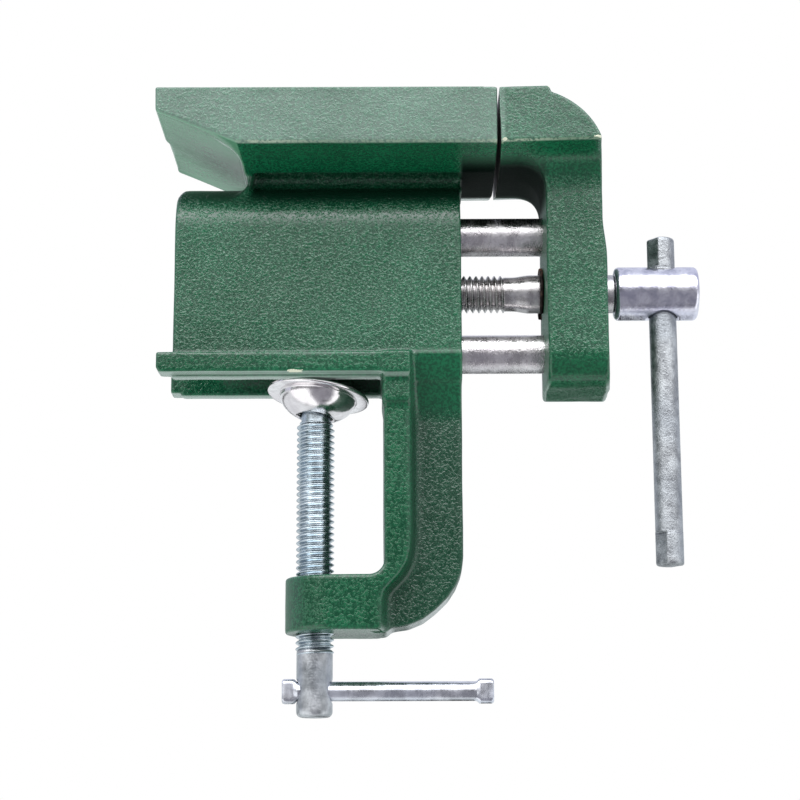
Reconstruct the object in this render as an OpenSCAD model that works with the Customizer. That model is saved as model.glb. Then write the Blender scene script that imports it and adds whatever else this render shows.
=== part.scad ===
// Clamp-on table vise, 60 mm jaws: a cast body with an anvil top and a C-frame table clamp,
// a moving jaw on two guide rods, a lead screw with a sliding T-bar, and a clamp screw with
// a swivel pad. +Z is up, +X runs from the body towards the moving jaw and the T-bar.
// The origin is on the clamp screw's axis, in the plane of the two seat rails that rest on the table.

/* [Jaws] */
// Width of both jaws and of the anvil top
jaw_w = 60; // [56:1:66]
// Height of the anvil top above the table seat
top_z = 86.8; // [84:0.2:90]
// Height of the side faces of the anvil and jaws
side_h = 17.4; // [14:0.2:19]
// Gap between the jaw faces as the part is stored
rest_gap = 0.7; // [0.7:0.1:10]
// Distance from the clamp screw's axis to the fixed jaw face
jaw_x = 56.2; // [55:0.2:58]
// Distance from the clamp screw's axis to the rear edge of the anvil
anvil_back = 48.6; // [46:0.2:50]
// Full opening of the jaws
jaw_travel = 42; // [20:1:42]

/* [Body] */
// Width of the hollow body
body_w = 32; // [31:0.5:34]
// Thickness of the body's side walls
wall = 5; // [4:0.5:5.5]
// Distance from the clamp screw's axis to the body's front face
body_front = 45.2; // [44:0.2:47]
// Distance from the clamp screw's axis to the body's rear end
body_back = 43.2; // [40:0.2:45]
// Height of the seat rails
rail_h = 6.3; // [5:0.1:7]
// Width over the two seat rails
rail_w = 38; // [36:0.5:40]

/* [Table clamp] */
// Clear throat under the seat rails, which is the thickest table plus the pad
throat = 61.1; // [56:0.5:64]
// Thickness of the lower arm
arm_t = 16.4; // [15:0.2:19]
// Distance from the clamp screw's axis to the inside of the column
reach = 21.1; // [20.5:0.1:23]
// Width of the clamp frame's flange and arm
frame_w = 31; // [29:0.5:33]
// Outer diameter of the clamp pad
pad_d = 31.8; // [28:0.2:32]
// Tilt at which the pad hangs, towards the column
pad_rest_tilt = 7.6; // [3:0.2:7.6]
// Tilt at which the pad hangs, towards the far side
pad_side_tilt = 6.1; // [0:0.1:6.1]

/* [Screws and rods] */
// Nominal diameter of both screws
screw_d = 11.7; // [11.5:0.1:11.9]
// Thread pitch of both screws
pitch = 1.9; // [1.5:0.1:2]
// Diameter of the two guide rods
rod_d = 12; // [11:0.5:12.5]
// Diameter of the T-bar
bar_d = 8.5; // [8:0.1:9]
// Length of the T-bar
bar_len = 104.4; // [100:0.2:110]
// Diameter of the clamp screw's cross bar
tommy_d = 5.9; // [5.5:0.1:6]
// Length of the clamp screw's cross bar
tommy_len = 63.9; // [60:0.1:66]

/* [Hidden] */
$fn = 64;

e = 0.01;
side_z = top_z - side_h;      // lower edge of the anvil's side faces
wedge_z = side_z - 3.4;       // underside of the jaw overhang
lip_y = 13;                   // inner edge of the anvil's sloping underside
lip_z = side_z - 4.3;
neck_hw = 6;                  // half the thickness of the neck
body_hw = body_w / 2;
cav_hw = body_hw - wall;
cap_z = 46.6;                 // centre of the body's round top
upper_z = 47.5;               // upper guide rod
screw_z = 28.9;               // lead screw
lower_z = 9.5;                // lower guide rod
block_x = 20;                 // where the hollow ends and the solid front begins
col_out = body_front;         // outer edge of the clamp column
flange_t = 8;
web_hw = 8;
arm_z1 = -throat;
arm_z0 = -throat - arm_t;
arm_nose = 9;               // arm in front of the clamp screw
frame_hw = frame_w / 2;
mj_x = jaw_x + rest_gap;      // moving jaw face
leg_in = mj_x + 14.3;         // inner face of the moving jaw's leg
leg_out = leg_in + 18.7;      // outer face at the leg's foot
leg_hw = 17;
leg_foot = -2.6;
head_x0 = leg_out + 3.5;      // inner end of the barrel head
head_len = 26;
head_d = 16.8;
bar_x = head_x0 + 15.1;       // T-bar axis
bar_top = screw_z + head_d / 2 + 9.9;
tommy_z = -94.8;
pivot_z = -8.25;              // centre about which the clamp pad swivels
run = 0.05;                   // radial running clearance

// Points of an arc, counter-clockwise from a0 to a1
function arc(cx, cz, r, a0, a1, n = 8) =
    [for (i = [0:n]) let (a = a0 + (a1 - a0) * i / n) [cx + r * cos(a), cz + r * sin(a)]];

// A side profile in X and Z, extruded to a full width w about the middle
module slab(points, w) {
    rotate([90, 0, 0]) linear_extrude(height = w, center = true) polygon(points);
}

// A cross-section in Y and Z, extruded from x0 to x1
module bar_x_section(x0, x1) {
    translate([x0, 0, 0]) rotate([90, 0, 90]) linear_extrude(height = x1 - x0) children();
}

// A round rod along X
module rod_x(x0, x1, r) {
    translate([x0, 0, 0]) rotate([0, 90, 0]) cylinder(r = r, h = x1 - x0);
}

// Side profile of a thread's ridges from z0 to z1, as radius and height
function ridges(r, z0, z1, p, depth) =
    let (n = floor((z1 - z0) / p))
    [for (i = [0:n - 1], k = [0:3])
        [[r - depth, r, r, r - depth][k], z0 + p * (i + [0, 0.42, 0.58, 1][k])]];

// Screw shank along Z with cosmetic ring-shaped threads
module threaded(r, z0, z1, p, depth) {
    n = floor((z1 - z0) / p);
    rotate_extrude()
        polygon(concat([[0, z0]], ridges(r, z0, z1, p, depth), [[r - depth, z0 + n * p], [r - depth, z1], [0, z1]]));
}

// ---------------------------------------------------------------- fixed body

// Anvil plate with its sloping rear facet
module anvil() {
    slab([[-anvil_back, top_z], [jaw_x, top_z], [jaw_x, side_z], [-23.5, side_z],
          [-anvil_back + 0.2, side_z + 9.7]], jaw_w);
}

// Sloping undersides of the anvil, and the overhang of the fixed jaw
module anvil_belly() {
    intersection() {
        bar_x_section(-40, jaw_x)
            polygon([[-jaw_w / 2, side_z + 1], [-jaw_w / 2, side_z], [-lip_y, lip_z], [lip_y, lip_z],
                     [jaw_w / 2, side_z], [jaw_w / 2, side_z + 1]]);
        slab([[-27.2, side_z + 1], [-22.9, wedge_z - 1], [jaw_x, wedge_z - 1], [jaw_x, side_z + 1]], jaw_w);
    }
}

// Neck between the hollow body and the anvil, with its rear hollow and front arch
module neck() {
    intersection() {
        slab(concat([[-23.2, side_z + 0.5], [-22.9, wedge_z]],
                    [for (q = arc(-25.2, 62.4, 3.6, 45, -80, 8)) q],
                    [[-25, 52], [body_front, 52]],
                    [for (q = arc(body_front + 5, wedge_z - 5, 5, 180, 90, 6)) q],
                    [[body_front + 5, side_z + 0.5]]), 34);
        bar_x_section(-30, body_front + 6)
            polygon([[-neck_hw, 50], [neck_hw, 50], [neck_hw, side_z + 1], [-neck_hw, side_z + 1]]);
    }
}

// Outer skin of the inverted U body
module barrel() {
    bar_x_section(-body_back, body_front) {
        translate([0, cap_z]) circle(r = body_hw - 0.2);
        translate([-body_hw, 0]) square([body_w, cap_z]);
    }
}

// One rail, with its rear lower corner taken off
module rail(y0, x0) {
    translate([0, y0 + (rail_w / 2 - cav_hw) / 2, 0])
        slab([[x0, rail_h], [x0, 2.6], [x0 + 1.7, 0], [reach + flange_t, 0], [reach + flange_t, rail_h]],
             rail_w / 2 - cav_hw);
}

// Two rails that rest on the table, and the corner block where they meet the column
module rails() {
    rail(-rail_w / 2, -47.9);
    rail(cav_hw, -46.5);
    translate([reach, -rail_w / 2, -8.6]) cube([flange_t, rail_w, rail_h + 8.6]);
}

// C-frame: inner flange, recessed web, lower arm
module c_frame() {
    // inner flange and its turn into the arm
    slab([[reach, 1], [reach + flange_t, 1], [reach + flange_t, arm_z1 + 5], [20.2, arm_z1 - 5],
          [20.2, arm_z0], [7, arm_z0], [7, arm_z1], [reach, arm_z1]], frame_w);
    // fillets inside the corner
    slab(concat([[reach + e, arm_z1 - e], [reach + e, arm_z1 + 4.5]],
                arc(reach - 4.5, arm_z1 + 4.5, 4.5, 0, -90, 6)), frame_w);
    // recessed web with its rounded outer corner
    slab([[reach + 2, 4], [col_out, 4], [col_out, -55], [44.5, -59.6], [42.9, -63.6], [40.4, -67.4],
          [36.7, -71], [32.8, -73.9], [28.4, -75.7], [18, arm_z0 + 0.2], [18, arm_z1 - 2],
          [reach + 2, arm_z1 - 2]], 2 * web_hw);
    // shoulders where the web widens into the body
    bar_x_section(reach + 2, col_out)
        polygon([[-body_hw, 8], [-body_hw, 4], [-web_hw - 2, -9], [-web_hw, -14], [web_hw, -14],
                 [web_hw + 2, -9], [body_hw, 4], [body_hw, 8]]);
    // arm with its rounded front end
    translate([0, 0, arm_z0]) linear_extrude(height = arm_t) {
        translate([frame_hw - arm_nose, 0]) circle(r = frame_hw);
        translate([frame_hw - arm_nose, -frame_hw]) square([20.2 - frame_hw + arm_nose, frame_w]);
    }
}

// Recess on each side of the neck, behind the lip of the anvil's underside
module neck_recess() {
    for (m = [0, 1]) mirror([0, m, 0]) bar_x_section(-30, body_front)
        polygon([[neck_hw, 62.8], [neck_hw, side_z - 1.4], [lip_y - 2, lip_z], [lip_y - 2, 62.8]]);
}

// Everything cut out of the casting
module body_cuts() {
    neck_recess();
    // hollow under the round top, open below and behind
    bar_x_section(-60, block_x) {
        translate([0, 56.5 - cav_hw]) circle(r = cav_hw);
        translate([-cav_hw, -1]) square([2 * cav_hw, 57.5 - cav_hw]);
    }
    translate([0, 0, upper_z]) rod_x(block_x - 1, body_front + 1, rod_d / 2 + 0.06);
    translate([0, 0, lower_z]) rod_x(block_x - 1, body_front + 1, rod_d / 2 + 0.06);
    translate([0, 0, screw_z]) rod_x(block_x - 1, body_front + 1, 6.6);
    // clamp screw's hole through the arm
    translate([0, 0, arm_z0 - 1]) cylinder(r = screw_d / 2 + run, h = arm_t + 2);
}

module fixed_body() {
    color([0.13, 0.36, 0.24])
    difference() {
        union() {
            anvil();
            anvil_belly();
            neck();
            barrel();
            rails();
            c_frame();
        }
        body_cuts();
    }
}

// Square nut held in the hollow behind the solid front
module lead_nut() {
    color([0.45, 0.44, 0.42])
    difference() {
        translate([block_x - 12, -cav_hw, screw_z - 10.5]) cube([12, 2 * cav_hw, 21]);
        translate([0, 0, screw_z]) rod_x(block_x - 13, block_x + 1, screw_d / 2 + run);
        // corners taken off
        for (s = [-1, 1], t = [-1, 1])
            translate([block_x - 12, s * cav_hw, screw_z + t * 10.5]) rotate([45, 0, 0])
                translate([6, 0, 0]) cube([14, 2.4, 2.4], center = true);
    }
}

// ---------------------------------------------------------------- moving jaw

// Side profile of the head, with its small step and falling round back
module jaw_head() {
    slab(concat([[mj_x, side_z], [mj_x + 31.7, side_z]],
                arc(mj_x + 9.5, side_z - 6.8, 23.8, 20.5, 74.5, 9),
                [[mj_x + 15.2, top_z + 0.6], [mj_x, top_z + 0.2]]), jaw_w);
}

// Underside of the head, sloping in to the leg
module jaw_belly() {
    bar_x_section(mj_x, mj_x + 31.5)
        polygon([[-jaw_w / 2, side_z + 1], [-jaw_w / 2, side_z], [-leg_hw, wedge_z], [leg_hw, wedge_z],
                 [jaw_w / 2, side_z], [jaw_w / 2, side_z + 1]]);
}

// Leg that carries the rods and the screw
module jaw_leg() {
    slab(concat([[leg_in - 8.3, side_z], [leg_in - 8.3, wedge_z]],
                arc(leg_in - 8.3, wedge_z - 8.3, 8.3, 90, 0, 7),
                arc(leg_in + 3.2, leg_foot + 2.5, 2.5, 180, 270, 4),
                arc(leg_out - 2.4, leg_foot + 2.4, 2.4, 270, 360, 5),
                [[leg_out, 34], [mj_x + 31.7, side_z + 0.4]]), 2 * leg_hw);
}

module moving_jaw() {
    color([0.13, 0.36, 0.24])
    difference() {
        union() {
            jaw_head();
            jaw_belly();
            jaw_leg();
        }
        // blind seats of the guide rods, and the plain bore for the screw's journal
        translate([0, 0, upper_z]) rod_x(leg_in - 1, leg_in + 15, rod_d / 2);
        translate([0, 0, lower_z]) rod_x(leg_in - 1, leg_in + 15, rod_d / 2);
        translate([0, 0, screw_z]) rod_x(leg_in - 1, leg_out + 1, 6 + run);
        // cross holes of the rods' pins, from the far side
        for (z = [upper_z, lower_z])
            translate([leg_in + 7.5, 0, z]) rotate([-90, 0, 0]) cylinder(r = 1.5, h = leg_hw + 1);
    }
}

// Guide rod with chamfered ends and its cross hole
module guide_rod(z, x0) {
    color([0.72, 0.71, 0.70])
    difference() {
        translate([0, 0, z]) {
            rod_x(x0 + 0.8, leg_in + 14.2, rod_d / 2);
            translate([x0, 0, 0]) rotate([0, 90, 0]) cylinder(r1 = rod_d / 2 - 0.8, r2 = rod_d / 2, h = 0.8);
            translate([leg_in + 14.2, 0, 0]) rotate([0, 90, 0])
                cylinder(r1 = rod_d / 2, r2 = rod_d / 2 - 0.8, h = 0.8);
        }
        translate([leg_in + 7.5, 0, z]) rotate([-90, 0, 0]) cylinder(r = 1.5, h = rod_d);
    }
}

module guide_rod_upper() guide_rod(upper_z, -31);
module guide_rod_lower() guide_rod(lower_z, -31);

// Slotted spring pin that holds a guide rod in the leg
module rod_pin(z) {
    color([0.35, 0.34, 0.33])
    translate([leg_in + 7.5, 0, z]) rotate([-90, 0, 0]) difference() {
        cylinder(r = 1.5, h = leg_hw - 0.6);
        translate([0, 0, -1]) cylinder(r = 0.8, h = leg_hw + 2);
        translate([0, -0.3, -1]) cube([3, 0.6, leg_hw + 2]);
    }
}

module rod_pin_upper() rod_pin(upper_z);
module rod_pin_lower() rod_pin(lower_z);

// ---------------------------------------------------------------- lead screw

// Lead screw: thread, neck, journal in the leg and spigot in the barrel head
module lead_screw() {
    color([0.62, 0.60, 0.58])
    difference() {
        translate([0, 0, screw_z]) rotate([0, 90, 0]) {
            threaded(screw_d / 2, -28, mj_x + 2.6, pitch, 1.05);
            rotate_extrude() polygon([[0, mj_x + 2.2], [5.4, mj_x + 2.2], [5.4, mj_x + 5.6],
                [6, mj_x + 9.4], [6, head_x0], [4.5, head_x0], [4.5, head_x0 + 8], [0, head_x0 + 8]]);
        }
        translate([head_x0 + 4, 0, screw_z - 10]) cylinder(r = 1.5, h = 20);
    }
}

// Barrel head with the T-bar's cross hole
module screw_head() {
    color([0.80, 0.80, 0.86])
    difference() {
        translate([head_x0, 0, screw_z]) rotate([0, 90, 0])
            rotate_extrude() polygon([[0, 0], [head_d / 2 - 0.6, 0], [head_d / 2, 0.6],
                [head_d / 2, head_len - 1.5], [head_d / 2 - 1.2, head_len], [0, head_len]]);
        translate([0, 0, screw_z]) rod_x(head_x0 - 1, head_x0 + 8, 4.5);
        translate([bar_x, 0, screw_z - 20]) cylinder(r = bar_d / 2 + 0.3, h = 40);
        translate([head_x0 + 4, 0, screw_z - 20]) cylinder(r = 1.5, h = 40);
    }
}

// Pin that locks the barrel head on the screw's spigot
module head_pin() {
    color([0.50, 0.50, 0.50])
    translate([head_x0 + 4, 0, screw_z - head_d / 2 + 0.35]) cylinder(r = 1.5, h = head_d - 0.7);
}

// Snap ring on the screw, against the leg's inner face
module retaining_ring() {
    color([0.36, 0.22, 0.15])
    difference() {
        translate([0, 0, screw_z]) rod_x(leg_in - 1.5, leg_in - 0.05, 8.2);
        translate([0, 0, screw_z]) rod_x(leg_in - 3, leg_in + 1, 6);
    }
}

// A bar end pressed between two dies, so it spreads past its own diameter
module pressed_end(len, wide, thick) {
    linear_extrude(height = len)
        polygon([for (i = [0:23]) [wide / 2 * cos(i * 15), thick / 2 * sin(i * 15)]]);
}

// T-bar
module screw_handle() {
    color([0.62, 0.64, 0.66])
    translate([bar_x, 0, bar_top - bar_len]) {
        translate([0, 0, 9.5]) cylinder(r = bar_d / 2, h = bar_len - 19);
        rotate([0, 0, -45]) pressed_end(9.8, bar_d + 2.3, 5.6);
        translate([0, 0, bar_len - 9.8]) rotate([0, 0, -45]) pressed_end(9.8, bar_d + 2.3, 5.6);
    }
}

// ---------------------------------------------------------------- table clamp

// Clamp screw, from its neck in the pad to its plain head
module clamp_screw() {
    color([0.66, 0.71, 0.76])
    difference() {
        union() {
            threaded(screw_d / 2, -82.5, -12.2, pitch, 1.05);
            rotate_extrude() polygon([[0, -102.6], [4.4, -102.6], [5.5, -101.5], [5.5, -82.3], [0, -82.3]]);
            translate([0, 0, -12.4]) cylinder(r = 4.5, h = pivot_z + 1.4 - run + 12.4);
        }
        translate([-10, 0, tommy_z]) rotate([0, 90, 0]) cylinder(r = tommy_d / 2 + 0.25, h = 20);
    }
}

// Domed washer riveted on the screw's neck, which holds the pad and pushes on it
module pad_retainer() {
    color([0.55, 0.55, 0.56])
    translate([0, 0, pivot_z + 1.4]) rotate_extrude()
        polygon(concat([[0, 0], [6.1, 0], [6.5, 0.4], [6.5, 1.1]], arc(0, -12.23, 14.83, 65, 90, 6)));
}

// Points on the pad's bowl: an ellipse r wide and d deep below the rim, out to radius r0
function bowl(r, d, r0, up, n = 10) =
    let (a0 = acos(r0 / r))
    [for (i = [0:n]) let (a = up ? a0 * (1 - i / n) : a0 * i / n) [r * cos(a0 - a), -d * sin(a0 - a)]];

// Dished clamp pad, pressed from sheet
module clamp_pad() {
    rim = 4.6;
    color([0.78, 0.80, 0.80])
    translate([0, 0, pivot_z]) rotate([-pad_side_tilt, pad_rest_tilt, 0]) translate([0, 0, rim])
        rotate_extrude() polygon(concat(bowl(12, 7.95, 5.75, false), [[12, -0.3], [pad_d / 2, -0.45],
            [pad_d / 2, 0.75], [10.4, 0.9]], bowl(10.4, 6.35, 5.75, true)));
}

// Cross bar of the clamp screw
module clamp_handle() {
    color([0.72, 0.73, 0.77])
    translate([-9.8, 0, tommy_z]) rotate([0, 90, 0]) {
        translate([0, 0, 4]) cylinder(r = tommy_d / 2, h = tommy_len - 8);
        pressed_end(4.2, 7.5, 4.4);
        translate([0, 0, tommy_len - 4.9]) pressed_end(4.9, 7.5, 4.4);
    }
}

fixed_body();
lead_nut();
moving_jaw();
guide_rod_upper();
guide_rod_lower();
rod_pin_upper();
rod_pin_lower();
lead_screw();
screw_head();
head_pin();
retaining_ring();
screw_handle();
clamp_screw();
pad_retainer();
clamp_pad();
clamp_handle();
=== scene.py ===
import bpy
import math
import numpy as np
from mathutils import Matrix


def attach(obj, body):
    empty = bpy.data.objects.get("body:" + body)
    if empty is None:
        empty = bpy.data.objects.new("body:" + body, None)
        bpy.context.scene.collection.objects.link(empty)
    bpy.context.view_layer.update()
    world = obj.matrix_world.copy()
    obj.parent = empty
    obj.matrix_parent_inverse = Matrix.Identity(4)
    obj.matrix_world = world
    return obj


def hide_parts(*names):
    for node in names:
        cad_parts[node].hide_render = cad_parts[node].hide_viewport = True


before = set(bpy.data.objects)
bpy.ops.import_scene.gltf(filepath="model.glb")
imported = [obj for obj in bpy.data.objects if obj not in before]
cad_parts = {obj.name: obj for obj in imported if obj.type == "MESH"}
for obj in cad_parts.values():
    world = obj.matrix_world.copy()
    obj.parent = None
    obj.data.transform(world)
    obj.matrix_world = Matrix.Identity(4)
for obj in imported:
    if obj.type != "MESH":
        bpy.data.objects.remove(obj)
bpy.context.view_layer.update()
MM = 0.001
f32 = np.float32

# ------------------------------------------------------------------ fields, in millimetres


class Grid:
    """A block of sample points. Solids are made on it as signed distances, negative inside."""

    def __init__(s, lo, hi, h):
        s.lo, s.h = np.array(lo, float), h
        x, y, z = [(a + h * np.arange(int(math.ceil((b - a) / h)) + 1)).astype(f32) for a, b in zip(lo, hi)]
        s.X, s.Y, s.Z = x[:, None, None], y[None, :, None], z[None, None, :]
        s.shape = (len(x), len(y), len(z))

    def poly(s, pts, soft=0.0):
        """Signed distance to a polygon in X and Z."""
        px, pz = s.X[:, 0, :], s.Z[:, 0, :] if s.Z.shape[1] == 1 else s.Z[0]
        px, pz = np.broadcast_arrays(s.X[:, 0, 0][:, None], s.Z[0, 0, :][None, :])
        d = np.full(px.shape, 1e9)
        inside = np.zeros(px.shape, bool)
        n = len(pts)
        for i in range(n):
            (ax, az), (bx, bz) = pts[i], pts[(i + 1) % n]
            ex, ez = bx - ax, bz - az
            wx, wz = px - ax, pz - az
            t = np.clip((wx * ex + wz * ez) / (ex * ex + ez * ez + 1e-12), 0, 1)
            d = np.minimum(d, (wx - t * ex) ** 2 + (wz - t * ez) ** 2)
            if az != bz:
                c = (az > pz) != (bz > pz)
                inside ^= c & (px < ex * (pz - az) / ez + ax)
        d = np.sqrt(d) * np.where(inside, -1, 1)
        if soft > 0:
            d = blur(d, soft / s.h)
        return d.astype(f32)[:, None, :]


def blur(a, sigma):
    """Gaussian blur along every axis that has any length."""
    r = int(math.ceil(2.5 * sigma))
    if r < 1:
        return a
    w = np.exp(-0.5 * (np.arange(-r, r + 1) / sigma) ** 2)
    w = (w / w.sum()).astype(a.dtype)
    for ax in range(a.ndim):
        n = a.shape[ax]
        if n < 2 * r + 1:
            continue
        idx = [slice(None)] * a.ndim
        pad = [(0, 0)] * a.ndim
        pad[ax] = (r, r)
        p = np.pad(a, pad, mode="reflect", reflect_type="odd")
        out = np.zeros_like(a)
        for k in range(2 * r + 1):
            idx[ax] = slice(k, k + n)
            out += w[k] * p[tuple(idx)]
        a = out
    return a


def smin(a, b, k):
    h = np.maximum(k - np.abs(a - b), 0) / k
    return np.minimum(a, b) - h * h * (k * 0.25)


def smax(a, b, k):
    return -smin(-a, -b, k)


def step(t):
    t = np.clip(t, 0, 1)
    return t * t * (3 - 2 * t)


def arc(cx, cz, r, a0, a1, n=8):
    return [(cx + r * math.cos(math.radians(a0 + (a1 - a0) * i / n)),
             cz + r * math.sin(math.radians(a0 + (a1 - a0) * i / n))) for i in range(n + 1)]


def hypot(a, b):
    return np.sqrt(a * a + b * b)


def trilinear(F, p):
    """Value and slope of F at p, in grid units."""
    i = np.clip(np.floor(p).astype(np.int64), 0, np.array(F.shape) - 2)
    f = (p - i).astype(f32)
    x, y, z = f[:, 0], f[:, 1], f[:, 2]
    ny, nz = F.shape[1], F.shape[2]
    base = (i[:, 0] * ny + i[:, 1]) * nz + i[:, 2]
    R = F.ravel()
    c = [R[base + a * ny * nz + b * nz + d] for a in (0, 1) for b in (0, 1) for d in (0, 1)]
    c00, c01 = c[0] + (c[1] - c[0]) * z, c[2] + (c[3] - c[2]) * z
    c10, c11 = c[4] + (c[5] - c[4]) * z, c[6] + (c[7] - c[6]) * z
    c0, c1 = c00 + (c01 - c00) * y, c10 + (c11 - c10) * y
    gz0 = (c[1] - c[0]) * (1 - y) + (c[3] - c[2]) * y
    gz1 = (c[5] - c[4]) * (1 - y) + (c[7] - c[6]) * y
    g = np.stack([c1 - c0, (c01 - c00) * (1 - x) + (c11 - c10) * x, gz0 * (1 - x) + gz1 * x], 1)
    return c0 + (c1 - c0) * x, g


def surface(F, grid):
    """The zero surface of F as points and quads."""
    S = F < 0
    n = F.shape
    c = np.zeros((n[0] - 1, n[1] - 1, n[2] - 1), np.uint8)
    for a in (0, 1):
        for b in (0, 1):
            for d in (0, 1):
                c += S[a:n[0] - 1 + a, b:n[1] - 1 + b, d:n[2] - 1 + d]
    mixed = (c > 0) & (c < 8)
    cells = np.argwhere(mixed)
    ids = np.full(mixed.shape, -1, np.int32)
    ids[mixed] = np.arange(len(cells))
    acc = np.zeros((len(cells), 3))
    cnt = np.zeros(len(cells))
    E = np.eye(3, dtype=int)
    for ax in range(3):
        for u in (0, 1):
            for v in (0, 1):
                a = u * E[(ax + 1) % 3] + v * E[(ax + 2) % 3]
                b = a + E[ax]
                fa = F[tuple((cells + a).T)]
                fb = F[tuple((cells + b).T)]
                m = (fa < 0) != (fb < 0)
                t = fa[m] / (fa[m] - fb[m])
                acc[m] += a + t[:, None] * E[ax]
                cnt[m] += 1
    v = cells + acc / cnt[:, None]
    home = cells + 0.5
    for _ in range(4):
        val, g = trilinear(F, v)
        s = val / np.maximum((g * g).sum(1), 1e-6)
        v = v - np.clip(s[:, None] * g, -0.3, 0.3)
        v = home + np.clip(v - home, -0.9, 0.9)
    quads = []
    for ax in range(3):
        e1, e2 = E[(ax + 1) % 3], E[(ax + 2) % 3]
        lo = [slice(None)] * 3
        hi = [slice(None)] * 3
        lo[ax], hi[ax] = slice(0, -1), slice(1, None)
        idx = np.argwhere(S[tuple(lo)] != S[tuple(hi)])
        ok = np.ones(len(idx), bool)
        for q in ((ax + 1) % 3, (ax + 2) % 3):
            ok &= (idx[:, q] >= 1) & (idx[:, q] <= n[q] - 2)
        idx = idx[ok]
        q = np.stack([ids[tuple((idx - e1 - e2).T)], ids[tuple((idx - e2).T)],
                      ids[tuple(idx.T)], ids[tuple((idx - e1).T)]], 1)
        flip = ~S[tuple(idx.T)]
        q[flip] = q[flip][:, ::-1]
        quads.append(q)
    return v, np.concatenate(quads)


def make_mesh(name, pts, faces):
    """A mesh from millimetre points and quads, or from lists of mixed faces."""
    me = bpy.data.meshes.new(name)
    pts = np.asarray(pts, float) * MM
    if isinstance(faces, np.ndarray):
        me.vertices.add(len(pts))
        me.vertices.foreach_set("co", pts.astype(f32).ravel())
        k = faces.shape[1]
        me.loops.add(faces.size)
        me.loops.foreach_set("vertex_index", faces.astype(np.int32).ravel())
        me.polygons.add(len(faces))
        me.polygons.foreach_set("loop_start", np.arange(0, faces.size, k, dtype=np.int32))
        me.update(calc_edges=True)
    else:
        me.from_pydata([tuple(p) for p in pts], [], faces)
    me.validate()
    me.shade_smooth()
    return me


def add(name, me, mat, body, hides=()):
    ob = bpy.data.objects.new(name, me)
    bpy.context.scene.collection.objects.link(ob)
    me.materials.clear()
    me.materials.append(mat)
    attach(ob, body)
    if hides:
        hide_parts(*hides)
    return ob


def wavy(p, seed, length, n=7):
    """Smooth unseeded-safe waviness at points p, about -1 to 1."""
    rng = np.random.RandomState(seed)
    out = np.zeros(len(p))
    for _ in range(n):
        d = rng.normal(size=3)
        d /= np.linalg.norm(d)
        k = 2 * math.pi / (length * rng.uniform(0.7, 1.6))
        out += np.sin(p @ d * k + rng.uniform(0, 6.28))
    return out / n * 1.6


def thin_out(me, limit):
    """Collapse the mesh to fewer triangles than the limit."""
    tris = sum(len(p.vertices) - 2 for p in me.polygons) if len(me.polygons) < 1000 else len(me.loops) - 2 * len(me.polygons)
    if tris <= limit:
        return me
    ob = bpy.data.objects.new("tmp", me)
    bpy.context.scene.collection.objects.link(ob)
    m = ob.modifiers.new("d", "DECIMATE")
    m.ratio = limit / tris
    m.use_collapse_triangulate = True
    out = bpy.data.meshes.new_from_object(ob.evaluated_get(bpy.context.evaluated_depsgraph_get()))
    bpy.data.objects.remove(ob)
    bpy.data.meshes.remove(me)
    return out


def from_field(name, F, grid, limit=190000, wave=None, edge=True):
    v, q = surface(F, grid)
    p = v * grid.h + grid.lo
    if wave is not None:
        _, g = trilinear(F, v)
        nrm = g / np.maximum(np.linalg.norm(g, axis=1), 1e-6)[:, None]
        p = p + nrm * wave(p, nrm)[:, None]
        p[:, 1] = np.clip(p[:, 1], -29.99, 29.99)
    me = make_mesh(name, p, q)
    me = thin_out(me, limit)
    if edge:
        # how convex the surface is at each point, for worn edges
        co = np.empty(len(me.vertices) * 3, f32)
        me.vertices.foreach_get("co", co)
        co = co.reshape(-1, 3) / MM
        r = max(1, int(round(0.8 / grid.h)))
        u = (co - grid.lo) / grid.h
        c0 = trilinear(F, u)[0]
        L = np.zeros(len(u))
        for ax in range(3):
            for s in (-1, 1):
                w = u.copy()
                w[:, ax] += s * r
                L += trilinear(F, w)[0] - c0
        L /= (r * grid.h) ** 2
        at = me.attributes.new("edge", "FLOAT", "POINT")
        at.data.foreach_set("value", L.astype(f32))
    me.shade_smooth()
    return me


# ------------------------------------------------------------------ the two castings

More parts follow.
